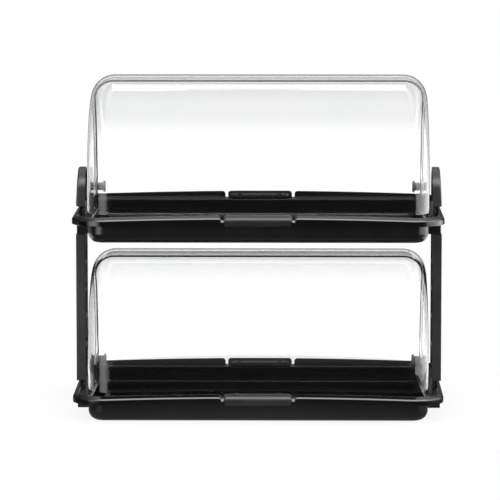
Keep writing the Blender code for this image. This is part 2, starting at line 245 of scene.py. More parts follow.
def prism(outlines: list, axis: int, levels: tuple) -> Skin:
    """Skin flat outlines of equal length, each held at its own level.

    Args:
        outlines: Arrays of 2-D points.
        axis: The axis across the outlines, 0 to 2.
        levels: Each outline's place along that axis.

    Returns:
        The skin of a solid.
    """
    return loft(np.array([on_plane(outline, axis, level) for outline, level in zip(outlines, levels)]))


def turned(profile: np.ndarray, level: float, steps: int = 48, closed: bool = False) -> Skin:
    """Turn a profile of (x, radius) round an axis along X: (x, r cos a, level + r sin a).

    Args:
        profile: The outline, as rows of x and radius.
        level: The axis's height.
        steps: The facets round the axis.
        closed: Whether the profile is a closed loop round a bore.

    Returns:
        The skin of a solid.
    """
    angles = (np.arange(steps) + 0.5) * math.tau / steps
    x = np.repeat(profile[:, :1], steps, axis=1)
    y = profile[:, 1:] * np.cos(angles)
    z = profile[:, 1:] * np.sin(angles) + level
    return loft(np.stack([x, y, z], -1), closed)


def rolled_block(span_x: tuple, span_y: tuple, span_z: tuple, radius: float, steps: int = 3) -> Skin:
    """A box whose twelve edges are rolled: rounded rectangles drawn in along a quarter arc at each end.

    Args:
        span_x: The lowest and highest x.
        span_y: The lowest and highest y.
        span_z: The lowest and highest z.
        radius: The radius of the rolled edges.
        steps: The chords in each quarter arc.

    Returns:
        The skin of a solid.
    """
    low = np.array([span_x[0], span_y[0], span_z[0]])
    high = np.array([span_x[1], span_y[1], span_z[1]])
    half = (high - low) / 2
    middle = (high + low) / 2
    roll = arc((radius, radius), radius, math.pi, 3 * QUARTER, steps)[::-1]
    least = radius / 50
    stations = [(high[2] - low[2] - z, inset) for inset, z in roll[::-1]]
    stations = [(z, inset) for inset, z in roll] + stations
    rings = []
    for z, inset in stations:
        corner = max(radius - inset, least)
        outline = rounded_rectangle((half[0] - inset, half[1] - inset), corner, steps, tuple(middle[:2]))
        rings.append(on_plane(outline, 2, low[2] + z))
    return loft(np.array(rings))


def combined(base: Mesh, tool: Skin, cut: Cut) -> Mesh:
    """One solid joined to, or cut by, another, with the result applied.

    Args:
        base: The solid that changes.
        tool: The skin of the solid that changes it.
        cut: What is done.

    Returns:
        A new mesh.
    """
    first = bpy.data.objects.new("first", base)
    second = bpy.data.objects.new("second", tool.to_mesh("tool"))
    for item in (first, second):
        bpy.context.scene.collection.objects.link(item)
    modifier = first.modifiers.new("cut", "BOOLEAN")
    modifier.operation = cut.value
    modifier.solver = "EXACT"
    modifier.object = second
    bpy.context.view_layer.update()
    graph = bpy.context.evaluated_depsgraph_get()
    result = bpy.data.meshes.new_from_object(first.evaluated_get(graph))
    for item in (first, second):
        bpy.data.objects.remove(item)
    return result


# Finishes


def linear(code: str) -> tuple:
    """Turn an sRGB hex colour such as #8A8A8A into linear red, green, blue and alpha."""
    parts = np.array([int(code[i:i + 2], 16) for i in (1, 3, 5)]) / 255
    values = np.where(parts <= 0.04045, parts / 12.92, ((parts + 0.055) / 1.055) ** 2.4)
    return (*values.tolist(), 1.0)


def add_node(tree: Tree, kind: str, settings: dict | None = None, **inputs) -> bpy.types.Node:
    """Add a node, set its settings, and set or link its inputs.

    Args:
        tree: The node tree.
        kind: The node's type name, without its ShaderNode.
        settings: Attributes of the node, by name.
        inputs: Sockets by name with underscores for blanks, or by number as in_0; a value or a socket.

    Returns:
        The node.
    """
    node = tree.nodes.new(f"ShaderNode{kind}")
    for name, value in (settings or {}).items():
        setattr(node, name, value)
    for name, value in inputs.items():
        socket = node.inputs[int(name[3:])] if name.startswith("in_") else node.inputs[name.replace("_", " ")]
        if isinstance(value, Socket):
            tree.links.new(value, socket)
        else:
            socket.default_value = value
    return node


@dataclass(frozen=True)
class Plastic:
    """One plastic and how its surface was made.

    Patterns are in real sizes: a noise of scale 1 / size has features of about that size.
    """

    name: str
    slot: str
    colour: str
    worn_colour: str
    roughness: float
    worn_roughness: float
    ior: float = 1.53
    clearness: float = 0.0
    patch_size: float = 0.045
    grain_size: float = 0.0012
    grain_depth: float = 0.000004
    softness: float = 0.0
    colour_span: tuple = (0.38, 0.68)
    gloss_span: tuple = (0.35, 0.7)

    def material(self) -> bpy.types.Material:
        """Build the material: handled patches in colour and gloss, and the mould's fine grain as bump."""
        found = bpy.data.materials.get(self.name)
        if found:
            return found
        material = bpy.data.materials.new(self.name)
        material.use_nodes = True
        tree = material.node_tree
        tree.nodes.clear()
        place = add_node(tree, "TexCoord").outputs["Object"]
        patches = add_node(tree, "TexNoise", Vector=place, Scale=1 / self.patch_size,
                           Detail=4.0, Roughness=0.6)
        share = add_node(tree, "MapRange", {"clamp": True}, Value=patches.outputs["Fac"],
                         From_Min=self.colour_span[0], From_Max=self.colour_span[1])
        colour = add_node(tree, "Mix", {"data_type": "RGBA"}, Factor=share.outputs["Result"],
                          in_6=linear(self.colour), in_7=linear(self.worn_colour))
        gloss = add_node(tree, "MapRange", {"clamp": True}, Value=patches.outputs["Fac"],
                         From_Min=self.gloss_span[0], From_Max=self.gloss_span[1],
                         To_Min=self.roughness, To_Max=self.worn_roughness)
        grain = add_node(tree, "TexNoise", Vector=place, Scale=1 / self.grain_size, Detail=2.0)
        bump = add_node(tree, "Bump", Strength=1.0, Distance=self.grain_depth,
                        Height=grain.outputs["Fac"])
        shader = add_node(tree, "BsdfPrincipled", Base_Color=colour.outputs[2],
                          Roughness=gloss.outputs["Result"], IOR=self.ior, Normal=bump.outputs["Normal"],
                          Transmission_Weight=self.clearness, Subsurface_Weight=self.softness)
        add_node(tree, "OutputMaterial", Surface=shader.outputs["BSDF"])
        return material


# ABS from a polished mould: deep black with mirror-like lines of light on its rounds. On the tray this darker
# black, against the lighter outsides of the tubs, is painted shade
BLACK_ABS = Plastic("polished_black_abs", "black_abs", "#060606", "#090909", 0.1, 0.15, ior=1.62)

# The same plastic where the mould is finely blasted, giving soft images outside the tubs. Its greyer colour
# there is painted light, set against the painted shade of the darker black on the rest of the tray
BLASTED_ABS_PAINTED_LIGHTER = Plastic("fine_blasted_black_abs", "black_abs", "#121212", "#161616", 0.2, 0.25, ior=1.58,
                      grain_size=0.0007, grain_depth=0.000005)

# The same plastic from a satin mould: the grips catch the light in broad soft bands
SATIN_ABS = Plastic("satin_black_abs", "black_abs", "#1C1C1D", "#232324", 0.3, 0.36,
                    grain_size=0.0008, grain_depth=0.000008)

# Dark grey ABS from a spark-eroded mould: matt posts and end caps that stay grey in the light
GREY_ABS = Plastic("grained_dark_grey_abs", "dark_grey_abs", "#29292A", "#303031", 0.3, 0.36,
                   grain_size=0.0009, grain_depth=0.00001)

# Clear polycarbonate, injection moulded and polished: see-through, dark along its edges and steep flanks
CLEAR_PC = Plastic("polished_clear_polycarbonate", "clear_polycarbonate", "#FFFFFF", "#FDFEFE", 0.0, 0.01,
                   ior=1.55, clearness=1.0, patch_size=0.12, grain_size=0.05, grain_depth=0.0000004)

# Polycarbonate left natural, moulded thick: the pivot pins and caps look milky grey
NATURAL_PC = Plastic("natural_polycarbonate_pins", "natural_polycarbonate", "#B4B8B7", "#A6AAA9", 0.08, 0.14,
                     ior=1.58, clearness=0.9, grain_size=0.002, grain_depth=0.00001)

# Natural nylon: thin waxy washers between the cheeks
NYLON = Plastic("natural_nylon_washers", "natural_nylon", "#DCDBD2", "#D2D1C8", 0.35, 0.45, softness=0.2)


def add_piece(node: str, mesh: Mesh, finish: Plastic, body: str = "stand", making: str = "moulding") -> Piece:
    """Put a finished piece into the scene, on its body, in place of its frame node.

    Args:
        node: The frame node that it stands for.
        mesh: Its mesh, with its place in it.
        finish: Its plastic.
        body: The body that it rides on.
        making: How it was made, which ends its name.

    Returns:
        The piece.
    """
    name = f"{node}_{making}"
    piece = bpy.data.objects.new(name, mesh)
    bpy.context.scene.collection.objects.link(piece)
    mesh.name = name
    mesh.materials.clear()
    mesh.materials.append(finish.material())
    mesh.shade_smooth()
    mesh.set_sharp_from_angle(angle=SMOOTH_ANGLE)
    weighted = piece.modifiers.new("even_shading", "WEIGHTED_NORMAL")
    weighted.keep_sharp = True
    weighted.weight = SHADING_WEIGHT
    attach(piece, body)
    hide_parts(node)
    LOG.info("%s: %d faces on %s", name, len(mesh.polygons), body)
    return piece


# The tray


@dataclass
class Tray:
    """One moulded tray: a tub, a ledge round it, and a raised lip that the two grips break."""

    tier: Tier
    corner_radius: float = 0.038
    flange: float = 0.0185
    wall: float = 0.0035
    floor: float = 0.003
    tub_bottom_radius: float = 0.012
    ledge_drop: float = 0.008
    ledge_thickness: float = 0.0025
    lip_height: float = 0.0133
    lip_thickness: float = 0.005
    lip_land: float = 0.0003
    lip_edge_radius: float = 0.0016
    lip_facet: float = 0.0011
    lip_facet_tilt: float = math.radians(25)
    lip_slope_tilt: float = math.radians(52)
    lip_crown: float = 0.003
    small_radius: float = 0.0005
    tub_edge_radius: float = 0.0022
    notch_half: float = 0.0433
    notch_corner_radius: float = 0.004
    notch_roll: float = 0.0012
    pocket_half: float = 0.0405
    pocket_inset: float = 0.0061
    socket_outer_wall: float = 0.005
    socket_end_wall: float = 0.0077
    facing_down: float = -0.01
    socket_roll: float = 0.0008
    slot_roll: float = 0.0002
    corner_steps: int = 28
    crown_steps: int = 12
    notch_steps: int = 10
    bend_steps: int = 16
    edge_steps: int = 3

    def __post_init__(self) -> None:
        """Read the tray's place and outer size from the frame."""
        low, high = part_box(f"{self.tier.value}_tray")
        self.base = low.z
        self.height = high.z - low.z
        self.half_x = high.x
        self.half_y = high.y
        self.ledge = self.height - self.ledge_drop
        self.ledge_underside = self.ledge - self.ledge_thickness
        self.side_seat = high.z - self.lip_crown + SEAT

    def chain(self) -> tuple:
        """The rim's section as (inset from the rim, height), from the underside to the floor.

        Returns:
            The points, and the number of the first and last point of the lip above the ledge and of
            the stretch outside the grip pocket.
        """
        r, small, tip = self.tub_bottom_radius, self.small_radius, self.lip_land
        inner = self.flange + self.wall
        lip_low = self.height - self.lip_height
        thick, edge = self.lip_thickness, self.tub_edge_radius
        floor_radius = r - self.wall
        round_off = self.lip_edge_radius
        top = thick - tip
        slope, lean = math.pi - self.lip_slope_tilt, math.pi - self.lip_facet_tilt
        facet_run, facet_rise = self.lip_facet * math.sin(lean), -self.lip_facet * math.cos(lean)
        slope_fall = (top - round_off - facet_run) / math.tan(self.lip_slope_tilt)
        turn_z = self.height - round_off - slope_fall - facet_rise
        under = [
            arc((self.flange + r, r), r, 3 * QUARTER, math.pi, self.bend_steps),
            arc((self.flange - small, self.ledge_underside - small), small, 0.0, QUARTER, self.edge_steps),
            [(self.pocket_inset, self.ledge_underside)],
        ]
        skirt = [
            arc((thick + small, self.ledge_underside - small), small, QUARTER, math.pi, self.edge_steps),
            arc((thick - small, lip_low + small), small, 0.0, -QUARTER, self.edge_steps),
            arc((small, lip_low + small), small, -QUARTER, -math.pi, self.edge_steps),
            [(0.0, self.ledge)],
        ]
        lip = [
            [(0.0, self.ledge)],
            arc((round_off, turn_z), round_off, math.pi, lean, 5),
            arc((round_off + facet_run, turn_z + facet_rise), round_off, lean, slope, 4),
            arc((top, self.height - round_off), round_off, slope, QUARTER, 8),
            arc((top, self.height - tip), tip, QUARTER, 0.0, self.edge_steps),
            [(thick, self.ledge + small)],
        ]
        ledge = [
            [(thick + small, self.ledge), (self.pocket_inset, self.ledge)],
            arc((inner - edge, self.ledge - edge), edge, QUARTER, 0.0, 4),
            arc((inner + floor_radius, self.floor + floor_radius), floor_radius, math.pi, 3 * QUARTER,
                self.bend_steps),
        ]
        parts = [np.concatenate([np.atleast_2d(part) for part in group])
                 for group in (under, skirt, lip, ledge)]
        starts = np.cumsum([0] + [len(part) for part in parts])
        lip_span = (starts[2], starts[3] - 1)
        pocket_span = (starts[1] - 1, starts[3] + 1)
        return np.concatenate(parts), lip_span, pocket_span

    def long_side(self) -> np.ndarray:
        """Columns along half a long side, from its middle out: x, share of the lip's height, roll, pocket.

        The lip's end is a quarter circle in elevation, with its edge rolled: at a distance d from the end
        the lip is drawn in by roll - sqrt(roll^2 - (roll - d)^2).

        Returns:
            An array of four values a column.
        """
        rise = self.height - self.ledge
        turn = arc((self.notch_half + self.notch_corner_radius, 0.0), self.notch_corner_radius,
                   math.pi, QUARTER, self.notch_steps)
        x = turn[:, 0]
        share = (rise - self.notch_corner_radius + turn[:, 1]) / rise
        gap = np.clip(self.notch_roll - (x - self.notch_half), 0.0, self.notch_roll)
        roll = self.notch_roll - np.sqrt(self.notch_roll ** 2 - gap ** 2)
        lip_end = np.stack([x, share, roll, np.zeros_like(x)], -1)
        flat = [
            (0.0, 0.0, self.notch_roll, 1.0),
            (self.pocket_half, 0.0, self.notch_roll, 1.0),
            (self.pocket_half, 0.0, self.notch_roll, 0.0),
            (self.notch_half, 0.0, self.notch_roll, 0.0),
        ]
        run = np.linspace(x[-1], self.half_x - self.corner_radius, self.crown_steps + 1)[1:-1]
        whole = np.stack([run, np.ones_like(run), np.zeros_like(run), np.zeros_like(run)], -1)
        return np.concatenate([flat, lip_end, whole])

    def columns(self) -> tuple:
        """The rim's columns anticlockwise: where each starts, its outward direction, and its lip.

        Returns:
            Arrays of start points, directions, and lip values as long_side gives them.
        """
        cx, cy = self.half_x - self.corner_radius, self.half_y - self.corner_radius
        half = self.long_side()
        mirrored = half[::-1] * (-1.0, 1.0, 1.0, 1.0)
        side = np.concatenate([mirrored, half[1:]])
        starts, directions, lips = [], [], []
        corners = ((cx, -cy, -QUARTER), (cx, cy, 0.0), (-cx, cy, QUARTER), (-cx, -cy, math.pi))
        whole = (0.0, 1.0, 0.0, 0.0)
        for index, (x, y, angle) in enumerate(corners):
            turn = np.linspace(angle, angle + QUARTER, self.corner_steps + 1)
            starts.append(np.tile((x, y), (len(turn), 1)))
            directions.append(np.stack([np.cos(turn), np.sin(turn)], -1))
            lips.append(np.tile(whole, (len(turn), 1)))
            if index % 2:
                facing = 1.0 if index == 1 else -1.0
                starts.append(np.stack([-facing * side[:, 0], np.full(len(side), facing * cy)], -1))
                directions.append(np.tile((0.0, facing), (len(side), 1)))
                lips.append(side)
        return np.concatenate(starts), np.concatenate(directions), np.concatenate(lips)

    def skin(self) -> Skin:
        """Carry the section round the rim: point = start + direction * (corner radius - inset).

        The lip's top comes down by crown * (x / x of the corner)^2. Above the ledge the height is then
        ledge + share * (height - ledge), and the inset is kept between the roll and the thickness less the
        roll; in a grip pocket nothing lies outside the pocket's inset.

        Returns:
            The skin of the whole tray.
        """
        section, (lip_from, lip_to), (pocket_from, pocket_to) = self.chain()
        start, direction, lips = self.columns()
        share, roll, pocket = (lips[None, :, k] for k in (1, 2, 3))
        inset = np.repeat(section[:, :1], len(start), axis=1)
        height = np.repeat(section[:, 1:], len(start), axis=1)
        lip = slice(lip_from, lip_to + 1)
        fall = self.lip_crown * (start[:, 0] / (self.half_x - self.corner_radius)) ** 2
        height[lip] -= np.where(height[lip] > self.ledge + 2 * self.small_radius, fall, 0.0)
        height[lip] = self.ledge + (height[lip] - self.ledge) * share
        inset[lip] = np.clip(inset[lip], roll, self.lip_thickness - roll)
        outside = slice(pocket_from, pocket_to + 1)
        inset[outside] = np.where(pocket > 0, np.maximum(inset[outside], self.pocket_inset), inset[outside])
        lifted = np.maximum(height[outside], self.ledge_underside)
        height[outside] = np.where(pocket > 0, lifted, height[outside])
        reach = self.corner_radius - inset
        x = start[:, 0] + direction[:, 0] * reach
        y = start[:, 1] + direction[:, 1] * reach
        rings = np.stack([x, y, height + self.base], -1)
        rows, count = rings.shape[:2]
        faces = grid_faces(rows, count)
        same = np.all(np.isclose(start, np.roll(start, -1, axis=0)), axis=1)
        same &= np.all(np.isclose(direction, np.roll(direction, -1, axis=0)), axis=1)
        faces = [face for face in faces.tolist() if not same[face[0] % count]]
        for column in np.flatnonzero(same):
            after = (column + 1) % count
            if lips[column, 3] != lips[after, 3]:
                outer = column if lips[column, 3] < lips[after, 3] else after
                faces.append([row * count + outer for row in range(pocket_from, pocket_to + 1)])
            elif lips[column, 1] != lips[after, 1]:
                high, low = (column, after) if lips[column, 1] > lips[after, 1] else (after, column)
                up = [row * count + high for row in range(lip_from, lip_to + 1)]
                faces.append(up + [row * count + low for row in range(lip_to, lip_from - 1, -1)])
        faces.append(list(range(count)))
        faces.append(list(range((rows - 1) * count, rows * count)))
        return Skin(rings.reshape(-1, 3), faces)

    def build(self) -> Piece:
        """Make the tray with its two sockets and dress it in polished black, blasted outside the tub, where a
        lighter colour is painted light against the painted shade of the rest.
        """
        mesh = self.skin().to_mesh("tray")
        for side in Side:
            tongue = Tongue(side)
            half_slot = tongue.half_depth + SEAT
            half_boss = half_slot + self.socket_end_wall
            boss_x = ordered(side.value, self.half_x - self.flange - self.wall / 2,
                             tongue.outer + SEAT + self.socket_outer_wall)
            top = self.base + self.ledge_underside + self.ledge_thickness / 2
            boss = rolled_block(boss_x, (-half_boss, half_boss), (self.base, top), self.socket_roll)
            mesh = combined(mesh, boss, Cut.JOIN)
            slot = rolled_block(tongue.span_x(SEAT), (-half_slot, half_slot),
                                (self.base - OVERRUN, self.base + self.ledge + OVERRUN), self.slot_roll, 2)
            mesh = combined(mesh, slot, Cut.REMOVE)
        piece = add_piece(f"{self.tier.value}_tray", mesh, BLACK_ABS)
        # The tubs' outsides get the blasted finish in a lighter colour: painted light there, painted shade on
        # the rest
        mesh.materials.append(BLASTED_ABS_PAINTED_LIGHTER.material())
        mesh.polygons.foreach_set("material_index", self.outside_of_tub_painted_lighter(mesh))
        return piece

    def outside_of_tub_painted_lighter(self, mesh: Mesh) -> np.ndarray:
        """Which faces lie under the lip and look outwards or down, to be painted lighter: centre . normal >
        0, or normal z < 0.

        Args:
            mesh: The tray's mesh.

        Returns:
            1 for each such face and 0 for the others.
        """
        centres, normals = np.empty((2, len(mesh.polygons), 3))
        mesh.polygons.foreach_get("center", centres.ravel())
        mesh.polygons.foreach_get("normal", normals.ravel())
        under = centres[:, 2] < self.base + self.height - self.lip_height
        outward = (centres[:, :2] * normals[:, :2]).sum(1) > 0
        return (under & (outward | (normals[:, 2] < self.facing_down))).astype(np.int32)


@dataclass
class Tongue:
    """The flat tongue under a post or an end cap, and the place of its socket."""

    side: Side
    outer: float = 0.2144
    thickness: float = 0.0046
    half_depth: float = 0.020
    roll: float = 0.0003

    def span_x(self, clearance: float = 0.0) -> tuple:
        """The tongue's lowest and highest x, with a clearance round it."""
        return ordered(self.side.value, self.outer - self.thickness - clearance, self.outer + clearance)

    def shank(self, span_z: tuple) -> Skin:
        """The tongue's skin between two levels."""
        return rolled_block(self.span_x(), (-self.half_depth, self.half_depth), span_z, self.roll, 2)


# The covers


@dataclass
class Cover:
    """One clear cover: a barrel with rounded shoulders, flat cheeks, a skirt and two pivot hubs."""

    tier: Tier
    facing: Facing
    wall: float = 0.002
    outer_fillet: float = 0.028
    nesting_step: float = 0.003
    past_top: float = math.radians(12)
    skirt_drop: float = 0.0273
    hub_radius: float = 0.013
    hub_proud: float = 0.0004
    hub_relief: float = 0.0003
    hub_edge: float = 0.0004
    hub_foot_radius: float = 0.001
    axis_radius: float = 0.0001
    hole_radius: float = 0.0035
    hole_reach: float = 0.005
    stud_rise: float = 0.0038
    stud_spacing: float = 0.050
    stud_hole_radius: float = 0.0018
    sweep_steps: int = 96
    fillet_steps: int = 14
    width_steps: int = 12
    cheek_steps: int = 6
    skirt_steps: int = 4
    disc_steps: int = 64
    plate_steps: int = 48
    hole_steps: int = 40
    stud_hole_steps: int = 20

    def __post_init__(self) -> None:
        """Read the cover's half width, radius and axis level from the frame."""
        self.node = self.facing.node(self.tier, "cover")
        low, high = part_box(self.node)
        self.level = low.z + self.skirt_drop
        self.radius = max(-low.y, high.y)
        front = self.facing is Facing.FRONT
        self.half_width = high.x - (self.hub_proud if front else 0.0)
        self.fillet = self.outer_fillet - (0.0 if front else self.nesting_step)

    def profile(self, inset: float) -> np.ndarray:
        """The cover's section along X as (x, distance from the axis), drawn in by inset.

        Args:
            inset: 0 for the outer skin, the wall for the inner one.

        Returns:
            Points from the left cheek over the barrel to the right cheek.
        """
        half, radius, fillet = self.half_width - inset, self.radius - inset, self.fillet - inset
        turn_x, turn_r = half - fillet, radius - fillet
        cheek = np.linspace(self.hub_radius / 2, turn_r, self.cheek_steps, endpoint=False)
        left = np.concatenate([
            np.stack([np.full_like(cheek, -half), cheek], -1),
            arc((-turn_x, turn_r), fillet, math.pi, QUARTER, self.fillet_steps),
        ])
        top = np.linspace(-turn_x, turn_x, self.width_steps + 1)[1:-1]
        middle = np.stack([top, np.full_like(top, radius)], -1)
        return np.concatenate([left, middle, left[::-1] * (-1.0, 1.0)])

    def skin(self) -> Skin:
        """Sweep the section from the skirt's foot up and over: (x, f r cos a, level + r sin a).

        Returns:
            The skin of the wall, outer and inner side.
        """
        loop = np.concatenate([self.profile(0.0), self.profile(self.wall)[::-1]])
        x, r = loop[:, 0], loop[:, 1] * self.facing.value
        angles = np.linspace(0.0, QUARTER + self.past_top, self.sweep_steps + 1)[:, None]
        swept = np.broadcast_arrays(x, r * np.cos(angles), self.level + np.abs(r) * np.sin(angles))
        drops = np.linspace(-self.skirt_drop, 0.0, self.skirt_steps + 1)[:-1, None]
        skirt = np.broadcast_arrays(x, r, self.level + drops)
        return loft(np.concatenate([np.stack(skirt, -1), np.stack(swept, -1)]))

    def hub(self, side: Side) -> Skin:
        """The hub round a pivot hole: a disc outside the front cover, a round-topped plate on the rear one.

        Args:
            side: The cheek that it belongs to.

        Returns:
            The hub's skin.
        """
        edge, radius = self.hub_edge, self.hub_radius
        if self.facing is Facing.FRONT:
            inner, outer = self.half_width - self.wall + self.hub_relief, self.half_width + self.hub_proud
            profile = np.array([(inner, self.axis_radius), (inner, radius), (outer - edge, radius),
                                (outer, radius - edge), (outer, self.axis_radius)])
            return turned(profile * (side.value, 1.0), self.level, self.disc_steps)
        inner, outer = self.half_width - self.wall - self.hub_proud, self.half_width - self.hub_relief
        low = self.level - self.skirt_drop + self.hub_relief
        outline = round_top(radius, low, self.level + radius, self.hub_foot_radius, self.plate_steps)
        return prism([outline, outline], 0, (side.value * inner, side.value * outer))

    def build(self) -> Piece:
        """Make the cover with its hubs, pivot holes and stud holes, and dress it in clear plastic."""
        mesh = self.skin().to_mesh("cover")
        for side in Side:
            mesh = combined(mesh, self.hub(side), Cut.JOIN)
            bore_x = ordered(side.value, self.half_width - self.hole_reach, self.half_width + self.hole_reach)
            bore = np.array([(x, self.hole_radius) for x in bore_x])
            mesh = combined(mesh, turned(bore, self.level, self.hole_steps), Cut.REMOVE)
            centre = (side.value * self.stud_spacing / 2, self.level - self.skirt_drop + self.stud_rise)
            circle = arc(centre, self.stud_hole_radius, 0.0, math.tau, self.stud_hole_steps)[:-1]
            drill_y = ordered(self.facing.value, self.radius - self.wall - OVERRUN, self.radius + OVERRUN)
            mesh = combined(mesh, prism([circle, circle], 1, drill_y), Cut.REMOVE)
        piece = add_piece(self.node, mesh, CLEAR_PC, self.facing.body(self.tier))
        piece.visible_shadow = False
        return piece


# Grips and pivots


@dataclass
class Grip:
    """One grip: a half-round bar, flat at its back, with a web and two snap studs."""

    tier: Tier
    facing: Facing
    bar_depth: float = 0.0065
    height: float = 0.0138
    end_radius: float = 0.004
    end_roll: float = 0.002
    web_inset: float = 0.004
    web_height: float = 0.005
    web_edge: float = 0.0021
    stud_spacing: float = 0.050
    stud_radius: float = 0.0015
    stud_head_radius: float = 0.003
    stud_head_thickness: float = 0.0012
    stud_head_edge: tuple = (0.0004, 0.0006)
    section_steps: int = 28
    end_steps: int = 14
    web_steps: int = 4
    stud_steps: int = 24

    def __post_init__(self) -> None:
        """Read the grip's place from the frame."""
        self.node = self.facing.node(self.tier, "grip")
        low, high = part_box(self.node)
        self.half = high.x
        self.top = high.z
        self.nose = max(abs(low.y), abs(high.y))
        self.stud_tip = min(abs(low.y), abs(high.y))
        self.back = self.nose - self.bar_depth
        self.cover = Cover(self.tier, self.facing)

    def bar(self) -> Skin:
        """The bar: (x, back + depth * cos a * k(x), middle + h(x) * sin a), drawn in towards its ends.

        Near an end, h falls along a quarter circle of the end radius, and k along one of the end roll.

        Returns:
            The skin of the bar, flat at its back.
        """
        step = np.sin(np.linspace(0.0, QUARTER, self.end_steps + 1))
        reach = self.end_radius * (1 - np.cos(np.linspace(0.0, QUARTER, self.end_steps + 1)))
        x = np.concatenate([-self.half + reach, (self.half - reach)[::-1]])
        drawn = self.end_radius * (1 - step)
        half_height = self.height / 2 - np.concatenate([drawn, drawn[::-1]])
        near = np.clip(self.end_roll - reach, 0.0, self.end_roll)
        bulge = self.bar_depth - self.end_roll + np.sqrt(self.end_roll ** 2 - near ** 2)
        bulge = np.concatenate([bulge, bulge[::-1]])
        angles = np.linspace(QUARTER, -QUARTER, self.section_steps + 1)
        middle = self.top - self.height / 2
        y = self.facing.value * (self.back + bulge[:, None] * np.cos(angles))
        z = middle + half_height[:, None] * np.sin(angles)
        return loft(np.stack([np.broadcast_to(x[:, None], y.shape), y, z], -1))

    def build(self) -> Piece:
        """Make the grip and dress it in satin black."""
        mesh = self.bar().to_mesh("bar")
        sign = self.facing.value
        foot = self.cover.level - self.cover.skirt_drop
        half = self.half - self.web_inset
        web = rolled_block((-half, half), ordered(sign, self.cover.radius + SEAT, self.back + OVERRUN),
                           (foot, foot + self.web_height), self.web_edge, self.web_steps)
        mesh = combined(mesh, web, Cut.JOIN)
        tip, head = self.stud_tip, self.stud_head_radius
        seat = tip + self.stud_head_thickness
        run, fall = self.stud_head_edge
        stations = [(self.back, self.stud_radius), (seat, self.stud_radius), (seat, head), (tip + run, head),
                    (tip, head - fall)]
        for side in Side:
            centre = (side.value * self.stud_spacing / 2, foot + self.cover.stud_rise)
            circles = [arc(centre, radius, 0.0, math.tau, self.stud_steps)[:-1] for _, radius in stations]
            mesh = combined(mesh, prism(circles, 1, [sign * y for y, _ in stations]), Cut.JOIN)
        return add_piece(self.node, mesh, SATIN_ABS, self.facing.body(self.tier))


@dataclass
class Pivot:
    """One pivot: a headed pin from outside, a cap on its end inside, and a washer between the cheeks."""

    tier: Tier
    side: Side
    pin_radius: float = 0.0032
    head_thickness: float = 0.0012
    sleeve_radius: float = 0.005
    cap_thickness: float = 0.0034
    dome_share: float = 0.75
    edge: float = 0.0005
    edge_steps: int = 4
    dome_steps: int = 8

    def __post_init__(self) -> None:
        """Read the axis level and the lengths along X from the frame."""
        self.prefix = f"{self.tier.value}_{self.side.name.lower()}"
        self.level = sum(corner.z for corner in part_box(f"{self.prefix}_pivot_pin")) / 2

    def span(self, part: str) -> tuple:
        """The part's inner and outer distance from the middle, and its radius."""
        low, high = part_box(f"{self.prefix}_{part}")
        near, far = sorted((abs(low.x), abs(high.x)))
        return near, far, (high.z - low.z) / 2

    def dress(self, part: str, stations: np.ndarray, finish: Plastic, closed: bool = False) -> Piece:
        """Turn the stations, given outwards from the middle, and add them as a piece.

        Args:
            part: The frame node's name without its prefix.
            stations: Rows of distance from the middle and radius.
            finish: The part's plastic.
            closed: Whether the stations close round a bore.

        Returns:
            The piece.
        """
        profile = stations * (self.side.value, 1.0)
        mesh = turned(profile, self.level, closed=closed).to_mesh(part)
        return add_piece(f"{self.prefix}_{part}", mesh, finish, making="turning")

    def build(self) -> None:
        """Make the pin, its cap and the washer."""
        edge = self.edge
        near, far, radius = self.span("pivot_pin")
        seat = far - self.head_thickness
        shank = [(near, self.pin_radius - edge), (near + edge, self.pin_radius), (seat, self.pin_radius),
                 (seat, radius)]
        head = arc((far - edge, radius - edge), edge, QUARTER, 0.0, self.edge_steps)
        self.dress("pivot_pin", np.concatenate([shank, head]), NATURAL_PC)
        near, far, radius = self.span("pivot_cap")
        bore = self.pin_radius + SEAT
        pin_near = self.span("pivot_pin")[0] - SEAT
        rear = near + self.cap_thickness
        sleeve = [(pin_near, bore), (far, bore), (far, self.sleeve_radius), (rear, self.sleeve_radius),
                  (rear, radius)]
        roundness = self.cap_thickness * self.dome_share
        dome = arc((near + roundness, radius - roundness), roundness, QUARTER, math.pi, self.dome_steps)
        self.dress("pivot_cap", np.concatenate([sleeve, dome]), NATURAL_PC)
        near, far, radius = self.span("washer")
        washer = np.array([(near, bore), (near, radius), (far, radius), (far, bore)])
        self.dress("washer", washer, NYLON, closed=True)


# Posts and end caps


@dataclass
class SideMoulding:
    """What a post and an end cap share: a wall round a hollow that opens inwards with a flared mouth."""

    side: Side
    width: float = 0.0115
    half_depth: float = 0.025
    wall: float = 0.0025
    mouth_flare: float = 0.0018
    mouth_depth: float = 0.002

    def mouth(self, wide: np.ndarray, narrow: np.ndarray, inner: float) -> Skin:
        """The cutter that flares a mouth.

        Args:
            wide: The mouth's outline on the inner face.
            narrow: Its outline where the flare ends.
            inner: The inner face's distance from the middle.

        Returns:
            The cutter's skin.
        """
        sign = self.side.value
        return prism([wide, narrow], 0, (sign * (inner - MOUTH_OVERRUN), sign * (inner + self.mouth_depth)))


